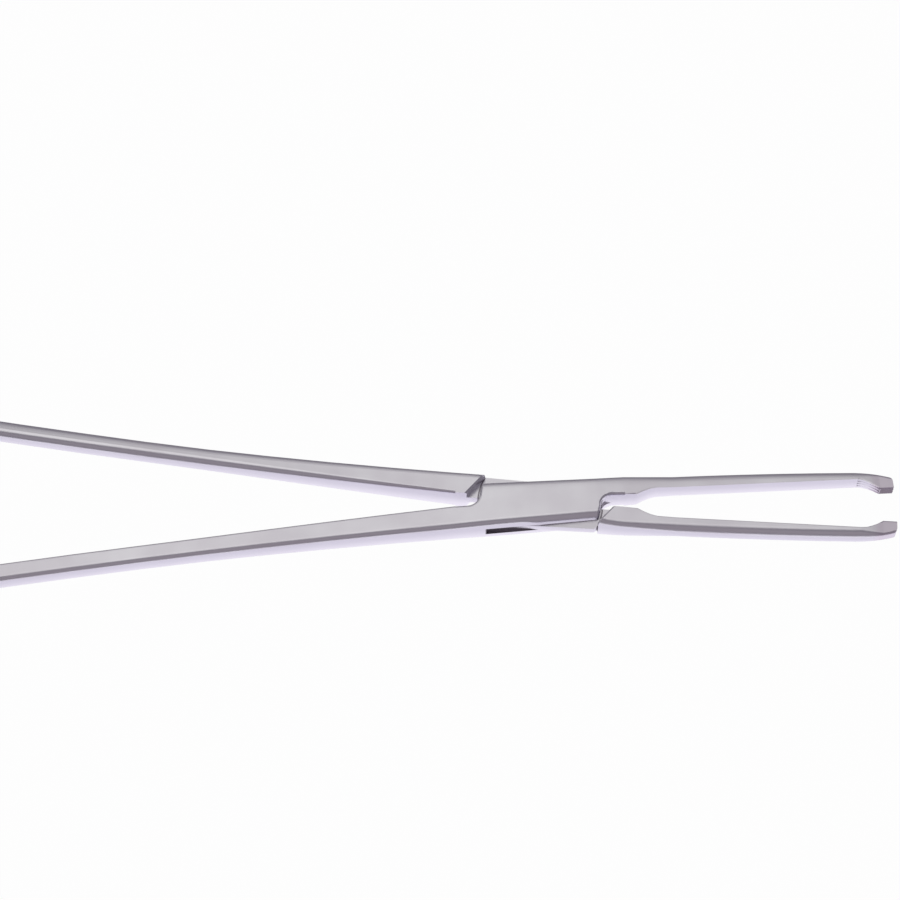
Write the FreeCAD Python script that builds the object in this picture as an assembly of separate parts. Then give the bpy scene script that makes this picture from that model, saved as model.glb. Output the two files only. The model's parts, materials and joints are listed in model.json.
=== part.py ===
"""Box-lock tissue forceps with ring handles, in millimetres.

Frame: the origin lies on the pivot axis, in the flat lower face of the lock.
+Z is up, +X runs to the jaw tips and the ring handles lie at -X.

Three separate pieces: the box half carries the slotted lock, the tongue half
passes through that slot, and one flush pivot pin holds them together. Both
halves are drawn closed, with the jaws' grip faces on the XZ plane, and are
then turned apart about the pivot to the rest pose.

A blank half has its handle at -Y and its jaw at +Y. The tongue half's blank
is its mirror image.
"""

import FreeCAD, Part
import math
import os

from FreeCAD import Vector

# Rest pose
rest_opening = 6.3            # degrees between the two halves, closed is zero

# Lock
lock_thickness = 6.2
cheek_thickness = 2.1
slot_clearance = 0.05         # above and below the tongue
lock_flat_reach = 9.5         # half-length of the flat faces
cheek_end_radius = 12.1       # the cheeks end in arcs about the pivot
slot_end_gap = 0.15           # between the tongue's ends and the slot's ends
shoulder_gap = 0.15           # between the tongue half's shoulders and the cheeks
shoulder_angle = 52.0         # degrees, shoulder against the X axis
lock_reach = 17.0             # from the pivot to where shank and jaw begin
lock_handle_side = 4.78       # from the X axis to the edge on the handle side
lock_handle_taper = 0.046     # how that edge widens towards the rings
lock_jaw_side = 4.5           # from the X axis to the edge on the jaw side
crotch_gap = 1.1              # between the closed halves beside the lock
crotch_radius = 2.7           # where a cheek's end runs into its arm
lock_edge_radius = 1.3
cheek_end_edge_radius = 0.6   # along the cheeks' arc-shaped ends
shoulder_bevel = 0.35
tongue_side_taper = 0.156     # how the tongue narrows towards its jaw

# Pivot pin
pin_radius = 1.4
pin_running_gap = 0.04

# Jaw
jaw_length = 71.0             # from the pivot to the tip
jaw_base_outer = 4.88         # outer side beside the lock
jaw_sweep_start = 25.0        # from the pivot
jaw_sweep = 1.27              # how far the outer side comes in from there to the tip
jaw_base_thickness = 5.0
jaw_thickness = 3.9
jaw_taper_length = 10.0
jaw_outer_radius = 1.75
jaw_inner_bevel = 0.2
keen_bevel = 0.06             # at the lock, where the inner edges are sharp
tip_length = 8.3
tip_sweep = 1.2               # how much further the outer side comes in along the tip
tip_outer_radius = 0.7
tip_thickness = 2.5
ledge_length = 2.4            # straight stretch between lock and slope
ledge_slope_length = 4.0
jaw_hollow = 1.95             # from the closed centre plane to the inner face
ledge_curve = 1.5             # power of the slope's curve, straight would be one
hook_length = 4.3             # inner slope that leads to the grip face
hook_curve = 1.6
grip_length = 2.7
tip_corner_radius = 1.5

# Grip teeth, which run along X and mesh when the jaws close
tooth_pitch = 0.88
tooth_depth = 0.45
tooth_mesh_gap = 0.1
tooth_count = 2               # grooves on each side of the middle height

# Shank
shank_start_thickness = 5.6
shank_width = 3.8
shank_thickness = 4.0
shank_taper_end = 75.0        # distance from the pivot where the taper ends
shank_taper_power = 1.4
shank_start_slope = 0.057
shank_bow = 0.000275
shank_start_inner_radius = 0.5
box_shank_radii = (1.1, 0.55)      # outer and inner edges, ground by hand
tongue_shank_radii = (1.7, 1.55)   # the same edges on the rounder half

# Finger rings
ring_distance = 162.5         # from the pivot to the ring's centre
ring_offset = 18.0            # from the closed centre plane to the centre
ring_half_length = 14.5       # centre line of the bow, along the shank
ring_half_width = 12.8        # centre line of the bow, across the shank
ring_bow_width = 4.8
ring_bow_thickness = 4.4
ring_bow_radius = 2.0
neck_length = 17.0
neck_width = 8.0

# Ratchet
ratchet_distance = 121.0      # from the pivot to the middle of the bars
ratchet_bar_length = 7.0      # along the shank
ratchet_bar_thickness = 2.5
ratchet_overreach = 4.2       # past the closed centre plane
ratchet_gap = 0.12            # between the bars, as sprung apart
ratchet_tooth_pitch = 1.9
ratchet_tooth_depth = 0.8
ratchet_tooth_count = 3
ratchet_corner_radius = 1.2

# Sections that each smooth stretch is drawn through
shank_stations = 9
neck_stations = 3
ledge_stations = 3
jaw_stations = 5
tip_stations = 5
lock_stations = 4
ring_stations = 11            # along each half circle

# Places that follow
mid_height = lock_thickness / 2
grip_crest = (tooth_mesh_gap - tooth_depth) / 2
inner_edge = crotch_gap / 2
face_start = jaw_length - grip_length
hook_start = face_start - hook_length
tip_start = jaw_length - tip_length
outside = 4 * lock_reach      # longer than any cut


def prism(points, low, high):
    """Upright prism over a closed polygon of (x, y) points."""
    wire = Part.makePolygon([Vector(x, y, low) for x, y in points + points[:1]])
    return Part.Face(wire).extrude(Vector(0, 0, high - low))


def upright_edges(solid, places, reach=0.05):
    """Edges parallel to Z that stand at the given (x, y) places."""
    found = []
    for edge in solid.Edges:
        first, last = edge.Vertexes[0].Point, edge.Vertexes[-1].Point
        if math.hypot(first.x - last.x, first.y - last.y) > reach:
            continue
        if any(math.hypot(first.x - x, first.y - y) < reach for x, y in places):
            found.append(edge)
    return found


def edge_points(edge):
    """Five points spread evenly along an edge."""
    length = edge.LastParameter - edge.FirstParameter
    return [edge.valueAt(edge.FirstParameter + length * step / 4) for step in range(5)]


def lies_flat(points, reach=0.05):
    """Whether an edge through these points runs along the part, not upright."""
    return math.hypot(points[0].x - points[-1].x, points[0].y - points[-1].y) > reach


def corner_arc(center, start, radius, x):
    """Quarter arc in the plane at x, counter-clockwise from the start angle."""
    def at(angle):
        turn = math.radians(angle)
        return Vector(x, center[0] + radius * math.cos(turn), center[1] + radius * math.sin(turn))
    return Part.Arc(at(start), at(start + 45), at(start + 90)).toShape()


def section(x, near, far, thickness, near_radius, far_radius):
    """Rounded cross-section at x, from y = near to y = far, centred in height."""
    low, high = mid_height - thickness / 2, mid_height + thickness / 2
    roundest = 0.48 * min(thickness, far - near)
    near_radius, far_radius = min(near_radius, roundest), min(far_radius, roundest)
    corners = [
        (far - far_radius, low + far_radius, 270, far_radius),
        (far - far_radius, high - far_radius, 0, far_radius),
        (near + near_radius, high - near_radius, 90, near_radius),
        (near + near_radius, low + near_radius, 180, near_radius),
    ]
    arcs = [corner_arc((y, z), start, radius, x) for y, z, start, radius in corners]
    edges = []
    for arc, following in zip(arcs, arcs[1:] + arcs[:1]):
        line = Part.makeLine(arc.Vertexes[-1].Point, following.Vertexes[0].Point)
        edges += [arc, line]
    return Part.Wire(edges)


def handle_side(x):
    """Distance of the lock's edge on the handle's side from the X axis."""
    return lock_handle_side - lock_handle_taper * x


def shank_middle(distance):
    """Distance of the shank's centre line from the closed centre plane."""
    along = distance - lock_reach
    start = (handle_side(-lock_reach) + inner_edge) / 2
    return start + shank_start_slope * along + shank_bow * along ** 2


def blend(share, first, last):
    """Value that runs from first to last as share runs from zero to one."""
    return first + share * (last - first)


def shank_section(distance, radii, width=None):
    """Cross-section of the shank at a distance from the pivot."""
    outer_radius, inner_radius = radii
    left = max(0.0, (shank_taper_end - distance) / (shank_taper_end - lock_reach))
    share = 1 - left ** shank_taper_power
    if width is None:
        width = blend(share, handle_side(-lock_reach) - inner_edge, shank_width)
    middle = -shank_middle(distance)
    return section(-distance, middle - width / 2, middle + width / 2,
                   blend(share, shank_start_thickness, shank_thickness),
                   blend(share, lock_edge_radius, outer_radius),
                   blend(share, shank_start_inner_radius, inner_radius))


def shank(radii):
    """Tapered, slightly bowed shank that widens into the ring's neck."""
    neck_end = ring_distance - ring_half_length
    neck_start = neck_end - neck_length
    span = (neck_start - lock_reach) / shank_stations
    sections = [shank_section(lock_reach + step * span, radii) for step in range(shank_stations + 1)]
    for step in range(1, neck_stations + 1):
        share = step / neck_stations
        width = blend(share ** 3, shank_width, neck_width)
        sections.append(shank_section(neck_start + share * neck_length, radii, width))
    return Part.makeLoft(sections, True, True)


def ring():
    """Finger ring: an oval bow of two half circles and two straight stretches."""
    straight = ring_half_length - ring_half_width

    def half(side):
        sections = []
        for step in range(ring_stations + 1):
            angle = side * 90 - 180 * step / ring_stations
            cut = section(0, ring_half_width - ring_bow_width / 2, ring_half_width + ring_bow_width / 2,
                          ring_bow_thickness, ring_bow_radius, ring_bow_radius)
            cut.rotate(Vector(0, 0, 0), Vector(0, 0, 1), angle - 90)
            cut.translate(Vector(side * straight, 0, 0))
            sections.append(cut)
        return sections

    ahead, behind = half(1), half(-1)
    bow = Part.makeLoft(ahead + behind[:1], True, True)
    bow = bow.fuse(Part.makeLoft(behind + ahead[:1], True, True))
    bow.translate(Vector(-ring_distance, -ring_offset, 0))
    return bow


def ratchet_bar():
    """Toothed bar that reaches from the shank past the centre plane."""
    top = mid_height - ratchet_gap / 2
    low = top - ratchet_bar_thickness
    root = -shank_middle(ratchet_distance)
    tip = ratchet_overreach
    profile = [(root, low), (tip, low), (tip, top)]
    for step in range(ratchet_tooth_count):
        crest = tip - step * ratchet_tooth_pitch
        profile.append((crest - ratchet_tooth_pitch, top - ratchet_tooth_depth))
        profile.append((crest - ratchet_tooth_pitch, top))
    profile.append((root, top))
    first = -ratchet_distance - ratchet_bar_length / 2
    wire = Part.makePolygon([Vector(first, y, z) for y, z in profile + profile[:1]])
    bar = Part.Face(wire).extrude(Vector(ratchet_bar_length, 0, 0))
    ends = [(first, tip), (first + ratchet_bar_length, tip)]
    return bar.makeFillet(ratchet_corner_radius, upright_edges(bar, ends))


def jaw_outer(x):
    """Outer side of the jaw at x, from the closed centre plane."""
    share = max(0.0, (x - jaw_sweep_start) / (jaw_length - jaw_sweep_start))
    tip_share = max(0.0, (x - tip_start) / tip_length)
    return jaw_base_outer - jaw_sweep * share ** 2 - tip_sweep * tip_share ** 2


def jaw_inner(x):
    """Inner side of the jaw at x, from the closed centre plane."""
    ledge_share = min(1.0, max(0.0, (x - lock_reach - ledge_length) / ledge_slope_length))
    hook_share = min(1.0, max(0.0, (x - hook_start) / hook_length))
    ledge = (jaw_hollow - inner_edge) * (1 - ledge_share) ** ledge_curve
    hook = (jaw_hollow - grip_crest) * hook_share ** hook_curve
    return jaw_hollow - ledge - hook


def jaw_section(x):
    """Cross-section at x: flat inside with bevelled edges, rounded outside."""
    taper = min(1.0, (x - lock_reach) / jaw_taper_length)
    edge = min(1.0, (x - lock_reach) / ledge_length)
    tip = min(1.0, max(0.0, (x - hook_start) / hook_length))
    thickness = blend(tip, blend(taper, jaw_base_thickness, jaw_thickness), tip_thickness)
    outer_radius = blend(tip, blend(taper, lock_edge_radius, jaw_outer_radius), tip_outer_radius)
    bevel = blend(edge, keen_bevel, jaw_inner_bevel)
    low, high = mid_height - thickness / 2, mid_height + thickness / 2
    near, far = jaw_inner(x), jaw_outer(x)
    lower = corner_arc((far - outer_radius, low + outer_radius), 270, outer_radius, x)
    upper = corner_arc((far - outer_radius, high - outer_radius), 0, outer_radius, x)
    corners = [(near + bevel, high), (near, high - bevel), (near, low + bevel), (near + bevel, low)]
    points = [Vector(x, y, z) for y, z in corners]
    return Part.Wire([
        lower,
        Part.makeLine(lower.Vertexes[-1].Point, upper.Vertexes[0].Point),
        upper,
        Part.makeLine(upper.Vertexes[-1].Point, points[0]),
        Part.makeLine(points[0], points[1]),
        Part.makeLine(points[1], points[2]),
        Part.makeLine(points[2], points[3]),
        Part.makeLine(points[3], lower.Vertexes[0].Point),
    ])


def grip_grooves(shift):
    """Grooves between the grip teeth, along the grip face and its slope."""
    slope_turn = math.degrees(math.atan2(jaw_hollow, hook_length))
    slope_length = math.hypot(hook_length, jaw_hollow)
    root = grip_crest + tooth_depth
    mouth = grip_crest - tooth_depth
    cuts = []
    for step in range(-tooth_count, tooth_count + 1):
        height = mid_height + (step + shift) * tooth_pitch
        profile = [(mouth, height - tooth_pitch), (mouth, height + tooth_pitch), (root, height)]
        wire = Part.makePolygon([Vector(0, y, z) for y, z in profile + profile[:1]])
        along = Part.Face(wire).extrude(Vector(outside, 0, 0))
        back = Part.Face(wire).extrude(Vector(-slope_length, 0, 0))
        back.rotate(Vector(0, 0, 0), Vector(0, 0, 1), -slope_turn)
        for cut in (along, back):
            cut.translate(Vector(face_start, 0, 0))
            cuts.append(cut)
    return cuts


def jaw(tooth_shift):
    """Slender jaw with an inner hollow and a toothed tip that turns inwards."""
    ledge_end = lock_reach + ledge_length
    taper_end = lock_reach + jaw_taper_length
    stretches = [
        (ledge_end, ledge_slope_length, ledge_stations),
        (taper_end, tip_start - taper_end, jaw_stations),
        (tip_start, face_start - tip_start, tip_stations),
    ]
    places = [lock_reach]
    for start, length, stations in stretches:
        places += [start + step * length / stations for step in range(stations + 1)]
    places += [(face_start + jaw_length) / 2, jaw_length]
    solid = Part.makeLoft([jaw_section(x) for x in sorted(set(places))], True, True)

    corner = (jaw_length, jaw_outer(jaw_length))
    slope = 2 * jaw_sweep / (jaw_length - jaw_sweep_start) + 2 * tip_sweep / tip_length
    outline = prism([
        (0, -outside), (jaw_length, -outside), corner, (0, corner[1] + slope * jaw_length),
    ], -outside, outside)
    outline = outline.makeFillet(tip_corner_radius, upright_edges(outline, [corner]))
    solid = solid.common(outline)
    for groove in grip_grooves(tooth_shift):
        solid = solid.cut(groove)
    return solid


def lock_block():
    """Full-width lock body with flat faces, which thins towards both arms."""
    sections = [
        section(-lock_reach, -handle_side(-lock_reach), lock_jaw_side,
                shank_start_thickness, lock_edge_radius, lock_edge_radius),
        section(-lock_flat_reach, -handle_side(-lock_flat_reach), lock_jaw_side,
                lock_thickness, lock_edge_radius, lock_edge_radius),
    ]
    for step in range(lock_stations + 1):
        share = step / lock_stations
        x = blend(share, lock_flat_reach, lock_reach)
        eased = share ** 2 * (3 - 2 * share)
        sections.append(section(x, -handle_side(x), blend(eased, lock_jaw_side, jaw_base_outer),
                                blend(eased, lock_thickness, jaw_base_thickness),
                                lock_edge_radius, lock_edge_radius))
    return Part.makeLoft(sections, True, True)


def side_strips(low, high):
    """The two strips beside the arms where the lock's own half has no arm."""
    return [
        prism([(-outside, -inner_edge), (0, -inner_edge), (0, outside), (-outside, outside)], low, high),
        prism([(outside, inner_edge), (0, inner_edge), (0, -outside), (outside, -outside)], low, high),
    ]


def pivot_cylinder(radius, low, high):
    """Cylinder about the pivot axis."""
    return Part.makeCylinder(radius, high - low, Vector(0, 0, low))


def arc_end_edges(block, reach=0.02):
    """Upper and lower edges of the lock body's arc-shaped ends."""
    found = []
    for edge in block.Edges:
        points = edge_points(edge)
        on_arc = all(abs(math.hypot(point.x, point.y) - cheek_end_radius) < reach for point in points)
        if on_arc and lies_flat(points):
            found.append(edge)
    return found


def lock_body(flared):
    """Lock body whose ends are arcs about the pivot, with or without a flare."""
    block = lock_block()
    corner = math.sqrt(cheek_end_radius ** 2 - inner_edge ** 2)
    corners = [(-corner, -inner_edge), (corner, inner_edge)]
    for strip in side_strips(0, lock_thickness):
        beside = strip.cut(pivot_cylinder(cheek_end_radius, 0, lock_thickness))
        if flared:
            beside = beside.makeFillet(crotch_radius, upright_edges(beside, corners))
        block = block.cut(beside)
    if flared:
        block = block.makeFillet(cheek_end_edge_radius, arc_end_edges(block))
    return block


def arm(body, tooth_shift, shank_radii):
    """One half without its slot or pockets: ring, shank, lock body and jaw."""
    solid = body
    for piece in (jaw(tooth_shift), shank(shank_radii), ring()):
        solid = solid.fuse(piece)
    return solid


def box_half():
    """Half whose lock is a box with a slot through it."""
    solid = arm(lock_body(True), 0, box_shank_radii)
    low, high = cheek_thickness, lock_thickness - cheek_thickness
    solid = solid.cut(pivot_cylinder(cheek_end_radius + slot_end_gap, low, high))
    near_lock = Part.makeBox(2 * lock_reach, 2 * outside, high - low, Vector(-lock_reach, -outside, low))
    for strip in side_strips(low, high):
        solid = solid.cut(strip.common(near_lock))
    solid = solid.cut(pivot_cylinder(pin_radius, -outside, outside))
    return solid.fuse(ratchet_bar())


def shoulder_corners():
    """Outer ends of the tongue half's two shoulders, just outside the cheeks."""
    reach = cheek_end_radius + shoulder_gap
    side, taper = lock_handle_side, lock_handle_taper
    square = 1 + taper ** 2
    handle_x = (math.sqrt(square * reach ** 2 - side ** 2) - side * taper) / square
    jaw_x = math.sqrt(reach ** 2 - lock_jaw_side ** 2)
    return Vector(-handle_x, -handle_side(-handle_x), 0), Vector(jaw_x, lock_jaw_side, 0)


def shoulder_edges(solid, low, high, reach=0.01):
    """Outer edges of the shoulders, above and below the tongue."""
    turn = math.radians(shoulder_angle)
    across = Vector(math.sin(turn), math.cos(turn), 0)
    found = []
    for edge in solid.Edges:
        points = edge_points(edge)
        beside_slot = low - reach < points[2].z < high + reach
        for corner in shoulder_corners():
            on_shoulder = all(abs((point - corner).dot(across)) < reach for point in points)
            if on_shoulder and lies_flat(points) and not beside_slot:
                found.append(edge)
    return found


def tongue_side(low, high):
    """The tongue's side that lies flush in the box when the halves are closed."""
    return prism([
        (-outside, 0), (-outside, handle_side(-outside)), (0, lock_handle_side),
        (lock_handle_side / tongue_side_taper, 0),
    ], low, high)


def tongue_half():
    """Half whose tongue passes through the box, drawn as the box half is."""
    solid = arm(lock_body(False), 0.5, tongue_shank_radii)
    handle_corner, jaw_corner = shoulder_corners()
    turn = math.radians(shoulder_angle)
    along = Vector(-math.cos(turn), math.sin(turn), 0) * outside
    outline = [handle_corner - along, handle_corner + along, jaw_corner + along, jaw_corner - along]
    pocket = [(point.x, point.y) for point in outline]
    tongue_bottom = cheek_thickness + slot_clearance
    tongue_top = lock_thickness - tongue_bottom
    solid = solid.cut(prism(pocket, -outside, tongue_bottom))
    solid = solid.cut(prism(pocket, tongue_top, outside))
    side = tongue_side(tongue_bottom, tongue_top)
    beyond = Part.makeBox(2 * outside, outside, lock_thickness, Vector(-outside, 0, 0))
    solid = solid.cut(beyond.common(prism(pocket, tongue_bottom, tongue_top)).cut(side))
    solid = solid.fuse(side.common(pivot_cylinder(cheek_end_radius, tongue_bottom, tongue_top)))
    solid = solid.makeChamfer(shoulder_bevel, shoulder_edges(solid, tongue_bottom, tongue_top))
    solid = solid.cut(pivot_cylinder(pin_radius + pin_running_gap, -outside, outside))
    upper_bar = ratchet_bar().mirror(Vector(0, 0, mid_height), Vector(0, 0, 1))
    return solid.fuse(upper_bar)


def main():
    os.makedirs("parts", exist_ok=True)
    origin, up = Vector(0, 0, 0), Vector(0, 0, 1)
    box = box_half()
    box.rotate(origin, up, rest_opening / 2)
    tongue = tongue_half().mirror(origin, Vector(0, 1, 0))
    tongue.rotate(origin, up, -rest_opening / 2)
    pin = pivot_cylinder(pin_radius, 0, lock_thickness)
    for name, solid in (("box_half", box), ("tongue_half", tongue), ("pivot_pin", pin)):
        print(name, solid.isValid(), len(solid.Solids), round(solid.Volume, 2), solid.BoundBox)
        solid.exportStep("parts/" + name + ".step")


main()
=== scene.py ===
# %% [markdown]
# # Box-lock tissue forceps
# The real instrument is three pieces of polished steel: the half with the box, the half whose
# tongue passes through it, and the pin. Their shapes come from the imported model, so this lesson
# is about light and finish. Polished steel has almost no colour of its own. What one sees on it
# is the room, bent by its curves, so the room is built as carefully as the steel.

# %% Start: an empty file and the model
import json
import math

import bmesh
import bpy
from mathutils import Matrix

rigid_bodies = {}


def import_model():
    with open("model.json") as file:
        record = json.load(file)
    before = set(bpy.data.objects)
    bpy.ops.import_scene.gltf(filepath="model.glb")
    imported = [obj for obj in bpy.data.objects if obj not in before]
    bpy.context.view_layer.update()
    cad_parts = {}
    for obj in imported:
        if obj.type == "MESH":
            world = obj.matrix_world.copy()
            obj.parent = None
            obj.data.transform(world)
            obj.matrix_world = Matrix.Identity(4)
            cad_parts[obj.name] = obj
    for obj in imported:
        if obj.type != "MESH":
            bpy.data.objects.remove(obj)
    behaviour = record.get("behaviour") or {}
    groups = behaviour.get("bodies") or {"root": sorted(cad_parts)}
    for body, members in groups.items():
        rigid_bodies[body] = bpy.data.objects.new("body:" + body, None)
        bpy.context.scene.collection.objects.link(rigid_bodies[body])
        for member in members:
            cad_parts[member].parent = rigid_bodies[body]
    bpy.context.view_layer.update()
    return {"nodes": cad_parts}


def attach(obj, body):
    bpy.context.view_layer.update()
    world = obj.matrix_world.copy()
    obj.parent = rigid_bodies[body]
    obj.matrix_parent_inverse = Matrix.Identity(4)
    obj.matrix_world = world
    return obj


for start_object in list(bpy.data.objects):
    bpy.data.objects.remove(start_object)

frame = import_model()
nodes = frame["nodes"]
scene = bpy.context.scene
scene.view_settings.view_transform = "Standard"
print("nodes:", sorted(nodes))

# %% [markdown]
# ## Camera
# The photograph looks down at the table from 60 degrees above it. Flat steel then mirrors the
# part of the room that is just as high on the far side. A long lens half a metre away keeps the
# two slim halves nearly parallel, as they look there.

# %% Camera
CAMERA_PLACE = (-0.01695, -0.24038, 0.4417)
CAMERA_TILT = math.radians(30)
CAMERA_TURN = math.radians(0.25)

camera_data = bpy.data.cameras.new("camera")
camera_data.lens = 100
camera_data.sensor_width = 36
camera_data.clip_start = 0.01
camera = bpy.data.objects.new("camera", camera_data)
camera.location = CAMERA_PLACE
camera.rotation_euler = (CAMERA_TILT, 0, CAMERA_TURN)
scene.collection.objects.link(camera)
scene.camera = camera
print("camera stands", round(math.dist(CAMERA_PLACE, (0, 0, 0.003)), 3), "m from the pin")

# %% [markdown]
# ## Small helpers for materials
# A material is a net of nodes. One helper adds a node and sets its inputs, and another makes a
# node group, which is a small net that several materials share. A mask is a value from 0 to 1.
# Most masks here are smooth steps, and where several must hold at once they are multiplied.

# %% Helpers
def add_node(tree, kind, inputs=None, **settings):
    node = tree.nodes.new(kind)
    for name, value in settings.items():
        setattr(node, name, value)
    for key, value in (inputs or {}).items():
        if isinstance(value, bpy.types.NodeSocket):
            tree.links.new(value, node.inputs[key])
        else:
            node.inputs[key].default_value = value
    return node


def new_material(name):
    material = bpy.data.materials.new(name)
    material.use_nodes = True
    material.node_tree.nodes.clear()
    return material, material.node_tree


def new_group(name, inputs, outputs):
    group = bpy.data.node_groups.new(name, "ShaderNodeTree")
    for label, default in inputs.items():
        socket = group.interface.new_socket(label, in_out="INPUT", socket_type="NodeSocketFloat")
        socket.default_value = default
    for label, kind in outputs.items():
        group.interface.new_socket(label, in_out="OUTPUT", socket_type=kind)
    return group, group.nodes.new("NodeGroupInput"), group.nodes.new("NodeGroupOutput")


def smooth_step(tree, value, borders, low=0.0, high=1.0):
    steps = {0: value, 1: borders[0], 2: borders[1], 3: low, 4: high}
    return add_node(tree, "ShaderNodeMapRange", steps, interpolation_type="SMOOTHSTEP").outputs[0]


def calculate(tree, operation, first, second):
    return add_node(tree, "ShaderNodeMath", {0: first, 1: second}, operation=operation).outputs[0]


def product(tree, first, *others):
    for other in others:
        first = calculate(tree, "MULTIPLY", first, other)
    return first


# %% [markdown]
# ## Table
# The photograph has a white table with hardly any shadow. A white surface under soft light is
# only light grey, so the table shows its own plain white to the eye, mixed with a small part of
# its true shading, which keeps the soft shadow under the forceps. The steel sees a faintly
# lilac white instead, because that is the tint of its bright sides in the photograph.

# %% Table
TABLE_SIZE = 8.0
TABLE_DROP = 0.0002
TABLE_WHITE_SHARE = 0.98
TABLE_TO_EYE = (1.0, 1.0, 1.0, 1)
TABLE_TO_STEEL = (0.93, 0.90, 1.0, 1)

bpy.ops.mesh.primitive_plane_add(size=TABLE_SIZE, location=(0, 0, -TABLE_DROP))
table = bpy.context.active_object
table.name = "table"
table_paint, tree = new_material("table_white")
light_path = add_node(tree, "ShaderNodeLightPath")
seen = add_node(tree, "ShaderNodeMath", {0: light_path.outputs["Is Camera Ray"],
                                        1: light_path.outputs["Is Glossy Ray"]}, operation="MAXIMUM")
seen = add_node(tree, "ShaderNodeMath", {0: seen.outputs[0],
                                        1: light_path.outputs["Is Transmission Ray"]}, operation="MAXIMUM")
share = add_node(tree, "ShaderNodeMath", {0: seen.outputs[0], 1: TABLE_WHITE_SHARE}, operation="MULTIPLY")
tone = add_node(tree, "ShaderNodeMix", {0: light_path.outputs["Is Camera Ray"], 6: TABLE_TO_STEEL,
                                        7: TABLE_TO_EYE}, data_type="RGBA")
shaded = add_node(tree, "ShaderNodeBsdfDiffuse", {"Color": (0.9, 0.9, 0.9, 1)})
white = add_node(tree, "ShaderNodeEmission", {"Color": tone.outputs[2], "Strength": 1.0})
mixed = add_node(tree, "ShaderNodeMixShader", {0: share.outputs[0], 1: shaded.outputs[0], 2: white.outputs[0]})
add_node(tree, "ShaderNodeOutputMaterial", {"Surface": mixed.outputs[0]})
table.data.materials.append(table_paint)
print("table is", TABLE_SIZE, "m wide")

# %% [markdown]
# ## Room and light cards
# The dark line along every rounded edge of the steel is the unlit side of the room behind the
# camera. So the room itself is a dim lilac grey, and the light comes from plain cards: a bright
# one high on the far side, which the flat faces mirror, and dim ones for the near side and the
# ring end. Cards are used instead of lamps because steel shows their shape. Each card fades
# towards its borders, and that fade is what draws the soft grey along the far edges.

# %% Room
ROOM_GREY = (0.19, 0.175, 0.21, 1)

world = bpy.data.worlds.new("room")
scene.world = world
world.use_nodes = True
world.node_tree.nodes.clear()
room = add_node(world.node_tree, "ShaderNodeBackground", {"Color": ROOM_GREY, "Strength": 1.0})
add_node(world.node_tree, "ShaderNodeOutputWorld", {"Surface": room.outputs[0]})
print("room grey:", ROOM_GREY[:3])


# %% Fading paint for the cards
def card_glow(name, colour, borders):
    """Borders are (from, to) for left, right, low and high, in shares of the card."""
    glow, net = new_material(name)
    place = add_node(net, "ShaderNodeTexCoord")
    sides = add_node(net, "ShaderNodeSeparateXYZ", {0: place.outputs["Object"]})
    fades = [smooth_step(net, sides.outputs[number // 2], pair) for number, pair in enumerate(borders)]
    tone = add_node(net, "ShaderNodeMix", {0: product(net, *fades), 6: ROOM_GREY, 7: colour}, data_type="RGBA")
    light = add_node(net, "ShaderNodeEmission", {"Color": tone.outputs[2], "Strength": 1.0})
    add_node(net, "ShaderNodeOutputMaterial", {"Surface": light.outputs[0]})
    return glow


# %% Light cards
def light_card(name, side_angle, height_angle, distance, size, colour, borders, shift=0.0):
    side = math.radians(side_angle)
    up = math.radians(height_angle)
    place = (distance * math.cos(up) * math.sin(side) + shift,
             distance * math.cos(up) * math.cos(side), distance * math.sin(up))
    bpy.ops.mesh.primitive_plane_add(size=1, location=place)
    card = bpy.context.active_object
    card.name = name
    card.rotation_euler = (math.pi / 2 + up, 0, -side)
    card.scale = (size[0], size[1], 1)
    card.data.materials.append(card_glow(name + "_glow", colour, borders))
    return card


SOFT_BORDERS = ((-0.5, -0.3), (0.5, 0.3), (-0.5, -0.3), (0.5, 0.3))
HIGH_BORDERS = ((-0.5, -0.35), (0.5, 0.08), (-0.5, -0.12), (0.5, 0.36))
CARDS = [
    light_card("high_card", 0, 69, 1.3, (1.6, 1.35), (0.84, 0.825, 0.84, 1), HIGH_BORDERS, shift=-0.05),
    light_card("near_card", 180, 42, 1.4, (2.2, 1.5), (0.30, 0.27, 0.31, 1), SOFT_BORDERS),
    light_card("ring_card", -80, 24, 1.3, (1.0, 0.8), (0.6, 0.6, 0.62, 1), SOFT_BORDERS),
]
print("light cards:", [card.name for card in CARDS])

# %% [markdown]
# ## Steel
# Surgical steel is polished along its length and then dulled a little, so that it doesn't
# dazzle. Seen closely it has very fine lines and patches that are a little duller. Each of
# these is a node group.

# %% Group: fine polishing lines
lines_group, lines_in, lines_out = new_group(
    "polishing_lines", {"Lines per metre": 9000.0, "Stretch": 0.02}, {"Height": "NodeSocketFloat"})
place = add_node(lines_group, "ShaderNodeTexCoord")
squeeze = add_node(lines_group, "ShaderNodeCombineXYZ", {0: lines_in.outputs["Stretch"], 1: 1.0, 2: 1.0})
stretched = add_node(lines_group, "ShaderNodeVectorMath",
                     {0: place.outputs["Object"], 1: squeeze.outputs[0]}, operation="MULTIPLY")
hairs = add_node(lines_group, "ShaderNodeTexNoise",
                 {"Vector": stretched.outputs[0], "Scale": lines_in.outputs["Lines per metre"], "Detail": 2.0})
lines_group.links.new(hairs.outputs[0], lines_out.inputs["Height"])
print("group:", lines_group.name)

# %% Group: duller patches
CLOUD_BORDERS = (0.35, 0.65)

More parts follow.
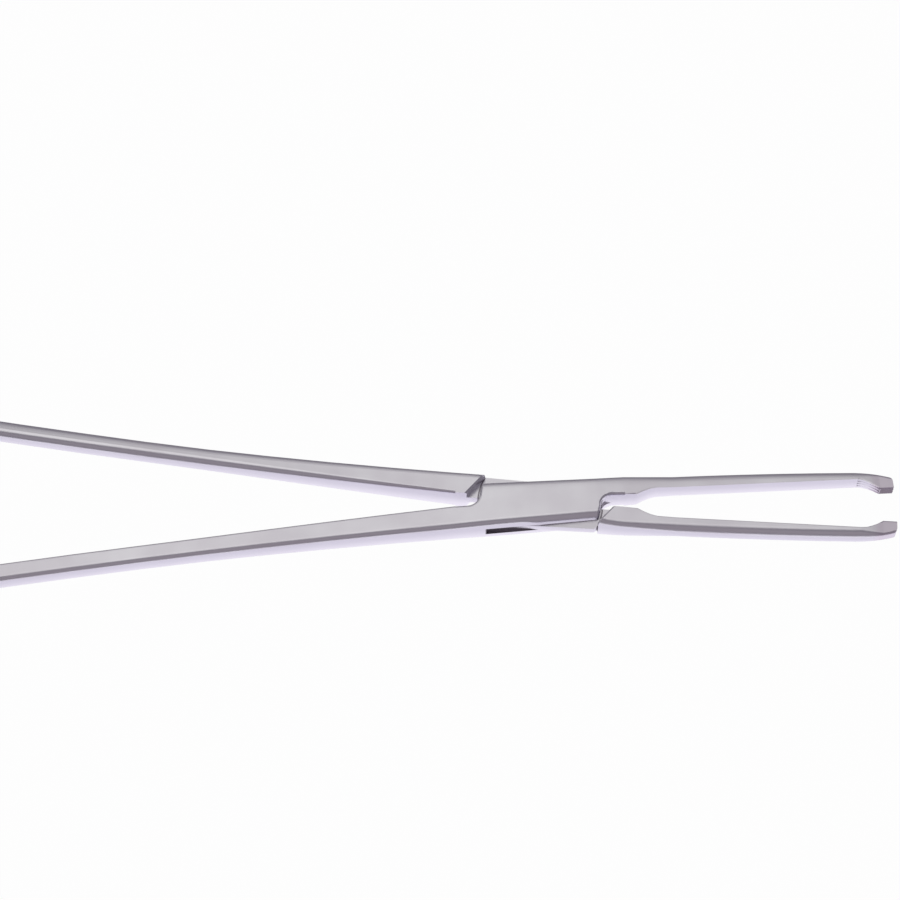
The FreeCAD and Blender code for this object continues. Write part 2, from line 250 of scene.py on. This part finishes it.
patch_group, patch_in, patch_out = new_group(
    "dull_patches", {"Patches per metre": 90.0}, {"Mask": "NodeSocketFloat"})
place = add_node(patch_group, "ShaderNodeTexCoord")
cloud = add_node(patch_group, "ShaderNodeTexNoise", {
    "Vector": place.outputs["Object"], "Scale": patch_in.outputs["Patches per metre"], "Detail": 3.0})
spread = add_node(patch_group, "ShaderNodeMapRange", {
    0: cloud.outputs[0], 1: CLOUD_BORDERS[0], 2: CLOUD_BORDERS[1], 3: 0.0, 4: 1.0})
patch_group.links.new(spread.outputs[0], patch_out.inputs["Mask"])
print("group:", patch_group.name)

# %% [markdown]
# ### Hand-ground faces
# A hand-ground face is never as exact as a drawn one: its far edge is broader, its middle is
# slightly crowned and a long shank leans a little. Tilting the shading normal shows all three
# without moving a point. It is paint, not shape, and its values were found by comparing greys
# with the photograph. The masks are read in the half's own coordinates. The tilt is added along
# the world's axes, which are the half's own only in the rest pose.

# %% Group: hand-ground faces
REST_TURN = math.radians(3.15)

ground, ground_in, ground_out = new_group(
    "hand_ground_faces", {"Side": 1.0, "Crown": 0.0, "Shank lean": 0.0, "Cheek wall": 0.0},
    {"Normal": "NodeSocketVector"})
place = add_node(ground, "ShaderNodeTexCoord")
own = add_node(ground, "ShaderNodeSeparateXYZ", {0: place.outputs["Normal"]})
spot = add_node(ground, "ShaderNodeSeparateXYZ", {0: place.outputs["Object"]})
along, sideways, height = spot.outputs
slip = product(ground, along, math.sin(REST_TURN), ground_in.outputs["Side"])
across = calculate(ground, "SUBTRACT", sideways, slip)
print("group:", ground.name)

# %% [markdown]
# Each tilt is a product of masks. Borders on a normal say how far the face points that way, from
# 0 to 1, and borders on a place are in metres. The far edges and the jaws' inner bevels are bent
# towards straight up. The crown and the lean tip a face away from the camera. The cheek's near
# wall leans back, and so it mirrors the table beyond the tongue.

# %% Borders of the tilts
TOP_FACES = (0.9, 0.97)
TOP_X_SHARE = 0.15
FAR_SIDE, FAR_RISE, FAR_LIFT = (0.0, 0.2), (0.1, 0.45), 1.6
BEVEL_SIDE, BEVEL_RISE, BEVEL_LIFT = (-0.1, -0.3), (0.3, 0.5), 3.0
BEVEL_START, BEVEL_OUTER, BEVEL_INNER = (0.0185, 0.0195), (0.0024, 0.0022), (0.0, 0.0003)
CROWN_ACROSS, CROWN_START = (0.002, 0.005), (-0.014, -0.011)
LEAN_ALONG, LEAN_RISE = (0.0, -0.12), (0.2, 0.7)
WALL_SIDE, WALL_LIFT, WALL_HEIGHT = (-0.5, -0.9), 0.45, (0.0040, 0.0042)
WALL_END, WALL_START = (0.0125, 0.0120), (-0.004, 0.0)
print("top faces keep", TOP_X_SHARE, "of their tilt along X")

# %% Tilts
far_edge = product(ground, smooth_step(ground, own.outputs[1], FAR_SIDE, high=FAR_LIFT),
                   smooth_step(ground, own.outputs[2], FAR_RISE))
inner_bevel = product(ground, smooth_step(ground, own.outputs[1], BEVEL_SIDE),
                      smooth_step(ground, along, BEVEL_START),
                      smooth_step(ground, own.outputs[2], BEVEL_RISE, high=BEVEL_LIFT),
                      smooth_step(ground, across, BEVEL_OUTER), smooth_step(ground, across, BEVEL_INNER))
crown = product(ground, smooth_step(ground, across, CROWN_ACROSS), smooth_step(ground, along, CROWN_START),
                smooth_step(ground, own.outputs[2], TOP_FACES), ground_in.outputs["Crown"])
lean = product(ground, smooth_step(ground, along, LEAN_ALONG), ground_in.outputs["Shank lean"],
               smooth_step(ground, own.outputs[2], LEAN_RISE))
wall = product(ground, smooth_step(ground, own.outputs[1], WALL_SIDE, high=WALL_LIFT),
               smooth_step(ground, height, WALL_HEIGHT), smooth_step(ground, along, WALL_END),
               smooth_step(ground, along, WALL_START), ground_in.outputs["Cheek wall"])
away = calculate(ground, "ADD", crown, lean)
upward = calculate(ground, "ADD", calculate(ground, "ADD", far_edge, inner_bevel), wall)
lift = add_node(ground, "ShaderNodeCombineXYZ", {1: away, 2: upward})
print("tilts:", len(ground.nodes), "nodes")

# %% The tilted normal
true_normal = add_node(ground, "ShaderNodeNewGeometry")
x_share = smooth_step(ground, own.outputs[2], TOP_FACES, low=1.0, high=TOP_X_SHARE)
keep = add_node(ground, "ShaderNodeCombineXYZ", {0: x_share, 1: 1.0, 2: 1.0})
flattened = add_node(ground, "ShaderNodeVectorMath", {0: true_normal.outputs["Normal"], 1: keep.outputs[0]},
                     operation="MULTIPLY")
added = add_node(ground, "ShaderNodeVectorMath", {0: flattened.outputs[0], 1: lift.outputs[0]}, operation="ADD")
tilted = add_node(ground, "ShaderNodeVectorMath", {0: added.outputs[0]}, operation="NORMALIZE")
ground.links.new(tilted.outputs[0], ground_out.inputs["Normal"])
print("nodes in the group:", len(ground.nodes))

# %% [markdown]
# ### Sides and tips
# An upright side mirrors the table. In the photograph it is brightest near the foot and greyer
# towards the top, and the tips are a little darker than the jaws. Two masks carry these tones. On
# the sides this is painted reflection: their colour is brighter at the foot and greyer at the top.

# %% Group: upright sides with painted reflection, and tips
UPRIGHT_BORDERS = (0.2, 0.5)
SIDE_HEIGHTS = (0.0006, 0.0044)

tone_group, tone_in, tone_out = new_group(
    "painted_side_reflection_and_tips", {"Tip start": 0.0655, "Tip end": 0.0675},
    {"Side": "NodeSocketFloat", "Height": "NodeSocketFloat", "Tip": "NodeSocketFloat"})
place = add_node(tone_group, "ShaderNodeTexCoord")
own = add_node(tone_group, "ShaderNodeSeparateXYZ", {0: place.outputs["Normal"]})
spot = add_node(tone_group, "ShaderNodeSeparateXYZ", {0: place.outputs["Object"]})
slope = add_node(tone_group, "ShaderNodeMath", {0: own.outputs[2]}, operation="ABSOLUTE")
tip_borders = (tone_in.outputs["Tip start"], tone_in.outputs["Tip end"])
masks = {"Side": smooth_step(tone_group, slope.outputs[0], UPRIGHT_BORDERS, low=1.0, high=0.0),
         "Height": smooth_step(tone_group, spot.outputs[2], SIDE_HEIGHTS),
         "Tip": smooth_step(tone_group, spot.outputs[0], tip_borders)}
for label, mask in masks.items():
    tone_group.links.new(mask, tone_out.inputs[label])
print("group:", tone_group.name)

# %% [markdown]
# ### The dark slot
# The slot of the box and the corners at the shoulders lie in shade, and that shade is painted: a dark
# colour stands in for it. The first mask is a ring about the pin, as high as the slot. In the box it
# covers everything out to the slot's round ends, and on the tongue only a rim at the shoulders.
# The second mask finds the upright ends of the cheek, which face the other half's shoulders, and the same
# painted shade goes on them.
# The product of X and Y tells those ends from the near and far walls, in square metres.

# %% Group: painted shade inside the slot
SLOT_LOW = 0.00205
SLOT_HIGH = 0.00415
CHEEK_REACH = 0.0113
CHEEK_END_DEPTH = 0.0011
CHEEK_END_SLOPE = 0.45
END_CORNERS = (-0.000034, 0.000014)

slot_group, slot_in, slot_out = new_group(
    "slot_painted_shade", {"Inner radius": 0.0, "Outer radius": 0.0124, "Cheek": 0.0},
    {"Mask": "NodeSocketFloat", "Cheek end": "NodeSocketFloat"})
place = add_node(slot_group, "ShaderNodeTexCoord")
own = add_node(slot_group, "ShaderNodeSeparateXYZ", {0: place.outputs["Normal"]})
spot = add_node(slot_group, "ShaderNodeSeparateXYZ", {0: place.outputs["Object"]})
flat = add_node(slot_group, "ShaderNodeCombineXYZ", {0: spot.outputs[0], 1: spot.outputs[1]})
reach = add_node(slot_group, "ShaderNodeVectorMath", {0: flat.outputs[0]}, operation="LENGTH")
distance = reach.outputs["Value"]
height = spot.outputs[2]
corner = calculate(slot_group, "MULTIPLY", spot.outputs[0], spot.outputs[1])


def between(value, low, high):
    above = calculate(slot_group, "GREATER_THAN", value, low)
    below = calculate(slot_group, "LESS_THAN", value, high)
    return above, below


# Masks for the painted shade: the slot ring and the cheek ends.
in_slot = product(slot_group, *between(height, SLOT_LOW, SLOT_HIGH),
                  *between(distance, slot_in.outputs["Inner radius"], slot_in.outputs["Outer radius"]))
at_end = product(slot_group, slot_in.outputs["Cheek"], calculate(slot_group, "GREATER_THAN", height, SLOT_HIGH),
                 *between(distance, CHEEK_REACH, CHEEK_REACH + CHEEK_END_DEPTH),
                 calculate(slot_group, "LESS_THAN", own.outputs[2], CHEEK_END_SLOPE),
                 *between(corner, *END_CORNERS))
slot_group.links.new(in_slot, slot_out.inputs["Mask"])
slot_group.links.new(at_end, slot_out.inputs["Cheek end"])
print("group:", slot_group.name)

# %% [markdown]
# ### Putting the steel together
# Both halves get the same steel: bright metal with duller patches, the painted reflection on the
# sides and the tips' tone over it, and the painted shade of the slot last. Only the numbers for the
# ground faces and the dark slot differ between them.

# %% Steel material
BRIGHT = (0.87, 0.865, 0.885, 1)
WARM = (0.85, 0.83, 0.86, 1)
# Painted shade: the dark colour that the slot masks put in the slot and on the cheek ends.
PAINTED_SLOT_SHADE = (0.27, 0.25, 0.27, 1)
# Painted reflection on upright sides: brighter at the foot, greyer towards the top.
PAINTED_REFLECTION_AT_FOOT = (0.97, 0.95, 0.98, 1)
PAINTED_REFLECTION_AT_TOP = (0.74, 0.72, 0.78, 1)
TIP_TONE = (0.78, 0.725, 0.78, 1)
ROUGHNESS = (0.28, 0.34)
LINE_HEIGHT = 0.000002


def steel(name, face_numbers, slot_numbers):
    material, net = new_material(name)
    patches = add_node(net, "ShaderNodeGroup", node_tree=patch_group)
    lines = add_node(net, "ShaderNodeGroup", node_tree=lines_group)
    faces = add_node(net, "ShaderNodeGroup", face_numbers, node_tree=ground)
    slot = add_node(net, "ShaderNodeGroup", slot_numbers, node_tree=slot_group)
    tones = add_node(net, "ShaderNodeGroup", node_tree=tone_group)
    polished = add_node(net, "ShaderNodeMix", {0: patches.outputs["Mask"], 6: BRIGHT, 7: WARM},
                        data_type="RGBA")
    side = add_node(net, "ShaderNodeMix", {0: tones.outputs["Height"], 6: PAINTED_REFLECTION_AT_FOOT, 7: PAINTED_REFLECTION_AT_TOP},
                    data_type="RGBA")
    # The sides get painted reflection, the tips their tone, and the slot masks painted shade.
    layers = ((tones.outputs["Side"], side.outputs[2]), (tones.outputs["Tip"], TIP_TONE),
              (slot.outputs["Mask"], PAINTED_SLOT_SHADE), (slot.outputs["Cheek end"], PAINTED_SLOT_SHADE))
    colour = polished
    for mask, tone in layers:
        colour = add_node(net, "ShaderNodeMix", {0: mask, 6: colour.outputs[2], 7: tone}, data_type="RGBA")
    rough = add_node(net, "ShaderNodeMapRange", {0: patches.outputs["Mask"], 1: 0.0, 2: 1.0,
                                                3: ROUGHNESS[0], 4: ROUGHNESS[1]})
    bump = add_node(net, "ShaderNodeBump", {"Strength": 1.0, "Distance": LINE_HEIGHT,
                                           "Height": lines.outputs["Height"],
                                           "Normal": faces.outputs["Normal"]})
    surface = add_node(net, "ShaderNodeBsdfPrincipled", {
        "Base Color": colour.outputs[2], "Metallic": 1.0, "Roughness": rough.outputs[0],
        "Normal": bump.outputs[0]})
    add_node(net, "ShaderNodeOutputMaterial", {"Surface": surface.outputs[0]})
    return material


BOX_STEEL = steel("satin_steel_of_the_box", {"Side": 1.0, "Crown": 0.13, "Cheek wall": 1.0},
                  {"Inner radius": 0.0, "Outer radius": 0.0124, "Cheek": 1.0})
TONGUE_STEEL = steel("satin_steel_of_the_tongue", {"Side": -1.0, "Shank lean": 0.08},
                     {"Inner radius": 0.0123, "Outer radius": 0.0126})
for label, node in nodes.items():
    node.data.materials.clear()
    node.data.materials.append(TONGUE_STEEL if label == "tongue_half" else BOX_STEEL)
print("steel on", len(nodes), "nodes")

# %% [markdown]
# ## The tongue's near flank
# Where the tongue comes out from under the box beside the lower jaw, it is as wide as the jaw.
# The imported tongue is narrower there, and this slim piece makes up the difference. Its plan is
# drawn with the forceps straight, then mirrored and turned into the rest pose. Its top slopes
# down a little to the outside, and so it mirrors the light above and not the cheek beside it.

# %% Tongue flank
FLANK_LOW = 0.00215
FLANK_HIGH = 0.00405
FLANK_SLOPE = 0.2
FLANK_PLAN = [(-0.0022, 0.00488), (0.0, 0.00478), (0.01272, 0.0028), (0.01139, 0.0045), (0.0109, 0.00488)]


def to_rest(x, y):
    turn = -REST_TURN
    return (x * math.cos(turn) + y * math.sin(turn), x * math.sin(turn) - y * math.cos(turn))


flank_mesh = bpy.data.meshes.new("tongue_flank")
flank_build = bmesh.new()
inner_y = min(y for x, y in FLANK_PLAN)
low_ring = [flank_build.verts.new((*to_rest(x, y), FLANK_LOW)) for x, y in FLANK_PLAN]
high_ring = [flank_build.verts.new((*to_rest(x, y), FLANK_HIGH - FLANK_SLOPE * (y - inner_y)))
             for x, y in FLANK_PLAN]
flank_build.faces.new(low_ring)
flank_build.faces.new(high_ring)
for number in range(len(FLANK_PLAN)):
    after = (number + 1) % len(FLANK_PLAN)
    flank_build.faces.new((low_ring[number], low_ring[after], high_ring[after], high_ring[number]))
bmesh.ops.recalc_face_normals(flank_build, faces=flank_build.faces[:])
flank_build.to_mesh(flank_mesh)
flank_build.free()
flank = bpy.data.objects.new("tongue_flank", flank_mesh)
scene.collection.objects.link(flank)
flank_mesh.materials.append(TONGUE_STEEL)
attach(flank, "tongue")
print("flank faces:", len(flank_mesh.polygons))
